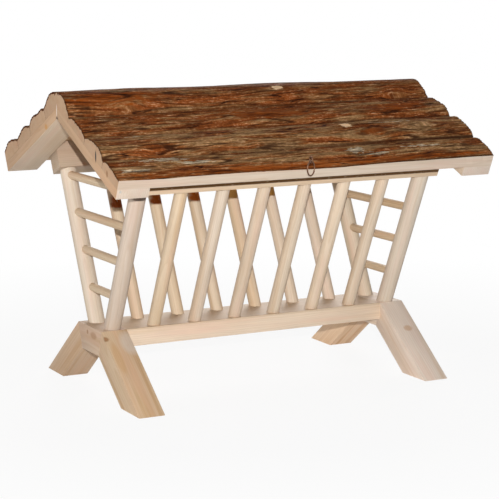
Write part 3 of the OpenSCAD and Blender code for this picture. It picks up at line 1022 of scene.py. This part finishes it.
def slab_mesh(node, side, index, x, skin, normal, fields, flow, seed):
    """Skins the relief, closes it with sawn faces and gives its two ends a rim of bark."""
    stations, count = skin.shape[:2]
    upper = SLAB_EDGES[side][index] + (SLAB_GAP / 2 if index else 0)
    lower = SLAB_EDGES[side][index + 1] - (SLAB_GAP / 2 if index < LAST_SLAB else 0)
    corners = np.broadcast_to(np.array([(lower, 0.0), (upper, 0.0)]), (stations, 2, 2))
    rings = np.concatenate([skin, corners], axis=1)
    rims = rim_lines(side, skin, normal, upper, lower, seed)
    places = np.concatenate([rings.reshape(-1, 2)] + rims)
    at_x = np.concatenate([np.repeat(x, count + 2), np.full(count, x[0]), np.full(count, x[-1])])
    faces, kinds = slab_faces(index, stations, count)
    mesh = bpy.data.meshes.new(node)
    mesh.from_pydata(slope_points(side, at_x, *places.T) * MM, [], faces)
    mesh.polygons.foreach_set("material_index", kinds)
    mesh.polygons.foreach_set("use_smooth", [True] * len(faces))
    write_slab_fields(mesh, fields, flow)
    fixed = bmesh.new()
    fixed.from_mesh(mesh)
    bmesh.ops.recalc_face_normals(fixed, faces=fixed.faces)
    fixed.to_mesh(mesh)
    fixed.free()
    mesh.set_sharp_from_angle(angle=SLAB_SHARP)
    return mesh


def rim_lines(side, skin, normal, upper, lower, seed):
    """The inner edge of the bark that shows at the slab's left and right end."""
    rims = []
    for i, end in ((0, LEFT), (-1, RIGHT)):
        ragged = noise(skin[i, :, 0] / 6, skin[i, :, 1] * 0 + end, seed + 30)
        inner = skin[i] - normal[i] * BARK_RIM[side] * (1 + 0.5 * ragged[:, None])
        inner[:, 0] = np.clip(inner[:, 0], upper, lower)
        rims.append(inner)
    return rims


def slab_faces(index, stations, count):
    """The faces of a slab as rows of point numbers, and the kind of surface each one is.

    Each station is a ring of count skin points and the two corners of the underside. After the
    last ring come the points of the left rim line and then those of the right one.
    """
    size = count + 2
    kind_of = {count: UNDERSIDE}
    if index == 0:
        kind_of[count + 1] = SAWN
    if index == LAST_SLAB:
        kind_of[count - 1] = SAWN
    faces, kinds = [], []
    for i in range(stations - 1):
        for j in range(size):
            k = (j + 1) % size
            faces.append((i * size + j, i * size + k, (i + 1) * size + k, (i + 1) * size + j))
            kinds.append(kind_of.get(j, BARK))
    for ring, line in ((0, stations * size), ((stations - 1) * size, stations * size + count)):
        for j in range(count - 1):
            faces.append((ring + j, ring + j + 1, line + j + 1, line + j))
            kinds.append(BARK)
        inner = [line + j for j in range(count)]
        faces.append([ring + count + 1, ring] + inner + [ring + count - 1, ring + count])
        kinds.append(END_GRAIN)
    return faces, kinds


def write_slab_fields(mesh, fields, flow):
    """Gives every point of the slab's mesh what its colour reads, in the order of slab_faces."""
    stations, count = flow.shape[:2]
    for name, values in fields.items():
        rings = np.full((stations, count + 2), BELOW.get(name, 0.0))
        rings[:, :count] = values
        rims = np.full(2 * count, RIM.get(name, 0.0))
        write_numbers(mesh, name, np.concatenate([rings.ravel(), rims]))
    rings = np.concatenate([flow, flow[:, -1:], flow[:, :1]], axis=1).reshape(-1, 3)
    write_vectors(mesh, "flow", np.concatenate([rings, flow[0], flow[-1]]) * MM)


def build_slabs():
    for side_name, side in SIDES.items():
        for index in range(SLAB_COUNT):
            build_slab(side_name, side, index)


def build_battens():
    for side_name, side in SIDES.items():
        run = SLAB_EDGES[side][-1]
        mitre = BATTEN_THICKNESS * math.tan(SLOPE[side])
        outline = [(0, 0), (run, 0), (run, -BATTEN_THICKNESS), (mitre, -BATTEN_THICKNESS)]
        along = Vector((0, side * math.cos(SLOPE[side]), -math.sin(SLOPE[side])))
        origin = on_slope(side, 0, 0, 0)
        for end_name, end in ENDS.items():
            name = f"batten_{side_name}_{end_name}"
            ends = sorted((end * ROOF_LENGTH / 2, end * (ROOF_LENGTH / 2 - BATTEN_WIDTH)))
            mesh = bar_along_x(name, outline, *ends, partial(on_slope, side), BATTEN_EASE)
            piece = wooden(name, mesh, "roof", "sawn_wood", origin, along)
            finish_batten(piece.data, end, along)


def finish_batten(mesh, end, along):
    """Gives the batten's outer face and its cut end at the eave their own woods."""
    outer, cut = 1, 2
    mesh.materials.append(woods["end_grain"])
    mesh.materials.append(woods["batten_end"])
    for face in mesh.polygons:
        if end * face.normal.x > 0.9:
            face.material_index = outer
        elif face.normal.dot(along) > 0.9:
            face.material_index = cut


def finish_plain_nodes():
    """Gives the nodes that keep their CAD shape their own materials."""
    brass = metal("hinge_metal", BRASS, 0.3)
    wire = metal("ring_wire", BROWN_WIRE, 0.38)
    hinges = [f"hinge_{part}_{end}" for part in ("rail_leaf", "pin", "roof_leaf") for end in ENDS]
    plain = {name: brass for name in hinges + ["rail_screws", "roof_screws"]}
    plain.update(screw_eye=wire, pull_ring=wire, beam_dowels=woods["beam_dowels"])
    for name, material in plain.items():
        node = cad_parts[name]
        node.data.materials.clear()
        node.data.materials.append(material)


# Stage, lights and camera, in metres
FLOOR_HALF = 60.0
FLOOR_GREY = 0.9
# How far from the origin the floor starts to turn into plain white, and where it has done so
FADE_START, FADE_END = 0.35, 0.9
WORLD_LIGHT = 0.08
# Lamps: the place, what it is aimed at, its diameter and its power in watts
LAMPS = {
    "key": ((-0.913, -1.84, 0.585), (0, 0, 0.18), 0.02, 34.5),
    "fill": ((-2.5, 0.3, 0.6), (0, 0, 0.18), 1.2, 14),
    "back": ((1.3, 2.2, 1.1), (0, 0, 0.15), 1.4, 40),
}
# The photo's camera, as solved from points marked in the photo
CAMERA_PLACE = Vector((-0.9396, -1.8548, 0.4887))
CAMERA_AIM = Vector((0.02785, 0.00327, 0.15788))
CAMERA_ROLL = math.radians(-0.177)
SENSOR_WIDTH = 36.0
# The picture's width, its focal length, and the point that the camera is aimed at, in pixels
PICTURE_WIDTH = 499
FOCAL_LENGTH = 1761.55
AIM_POINT = (265.03, 242.59)


def seen_directly(tree):
    """1 for what the camera sees straight, in a mirror or through glass, and 0 for lighting."""
    path = add_node(tree, "ShaderNodeLightPath").outputs
    seen = math_node(tree, "MAXIMUM", path["Is Camera Ray"], path["Is Glossy Ray"])
    return math_node(tree, "MAXIMUM", seen, path["Is Transmission Ray"])


def floor_material():
    """White ground that turns into plain light further out, where the camera sees it."""
    material, tree, shader = new_material("floor")
    shader.inputs["Base Color"].default_value = (FLOOR_GREY, FLOOR_GREY, FLOOR_GREY, 1)
    shader.inputs["Roughness"].default_value = 0.9
    shader.inputs["Specular IOR Level"].default_value = 0.0
    where = add_node(tree, "ShaderNodeTexCoord").outputs["Object"]
    away = vector_node(tree, "LENGTH", where)["Value"]
    share = spread(tree, away, FADE_START, FADE_END, 0.9, 1.0)
    share = times(tree, seen_directly(tree), share)
    glow = add_node(tree, "ShaderNodeEmission", {"Color": (1, 1, 1, 1), "Strength": 1.0})
    inputs = {0: share, 1: shader.outputs[0], 2: glow.outputs[0]}
    both = add_node(tree, "ShaderNodeMixShader", inputs)
    tree.links.new(both.outputs[0], tree.nodes["Material Output"].inputs["Surface"])
    return material


def add_floor():
    mesh = bpy.data.meshes.new("floor")
    low, high = -FLOOR_HALF, FLOOR_HALF
    corners = [(low, low, 0), (high, low, 0), (high, high, 0), (low, high, 0)]
    mesh.from_pydata(corners, [], [(0, 1, 2, 3)])
    mesh.materials.append(floor_material())
    floor = bpy.data.objects.new("floor", mesh)
    bpy.context.scene.collection.objects.link(floor)


def add_world():
    """A world that the camera sees as white and that lights the scene only a little."""
    world = bpy.data.worlds.new("studio")
    bpy.context.scene.world = world
    world.use_nodes = True
    tree = world.node_tree
    background = tree.nodes["Background"]
    background.inputs["Color"].default_value = (1, 1, 1, 1)
    strength = spread(tree, seen_directly(tree), 0.0, 1.0, WORLD_LIGHT, 1.0)
    tree.links.new(strength, background.inputs["Strength"])


def add_lamp(name, place, aim, size, power):
    lamp = bpy.data.lights.new(name, "AREA")
    lamp.shape = "DISK"
    lamp.size = size
    lamp.energy = power
    item = bpy.data.objects.new(name, lamp)
    bpy.context.scene.collection.objects.link(item)
    item.location = place
    item.rotation_euler = (Vector(aim) - Vector(place)).to_track_quat("-Z", "Y").to_euler()


def add_camera():
    data = bpy.data.cameras.new("camera")
    data.sensor_width = SENSOR_WIDTH
    data.lens = FOCAL_LENGTH * SENSOR_WIDTH / PICTURE_WIDTH
    data.shift_x = (PICTURE_WIDTH / 2 - AIM_POINT[0]) / PICTURE_WIDTH
    data.shift_y = (AIM_POINT[1] - PICTURE_WIDTH / 2) / PICTURE_WIDTH
    camera = bpy.data.objects.new("camera", data)
    bpy.context.scene.collection.objects.link(camera)
    turn = (CAMERA_AIM - CAMERA_PLACE).to_track_quat("-Z", "Y").to_matrix()
    turn = turn @ Matrix.Rotation(CAMERA_ROLL, 3, "Z")
    camera.matrix_world = Matrix.Translation(CAMERA_PLACE) @ turn.to_4x4()
    bpy.context.scene.camera = camera


woods = {name: wood(name + "_wood", *look, MARKS.get(name, ())) for name, look in WOODS.items()}
bark = bark_material()

build_beam()
build_end_frames()
build_rails()
build_rods()
build_slabs()
build_battens()
finish_plain_nodes()
add_floor()
add_world()
for name, settings in LAMPS.items():
    add_lamp(name, *settings)
add_camera()
bpy.context.scene.view_settings.view_transform = "Standard"
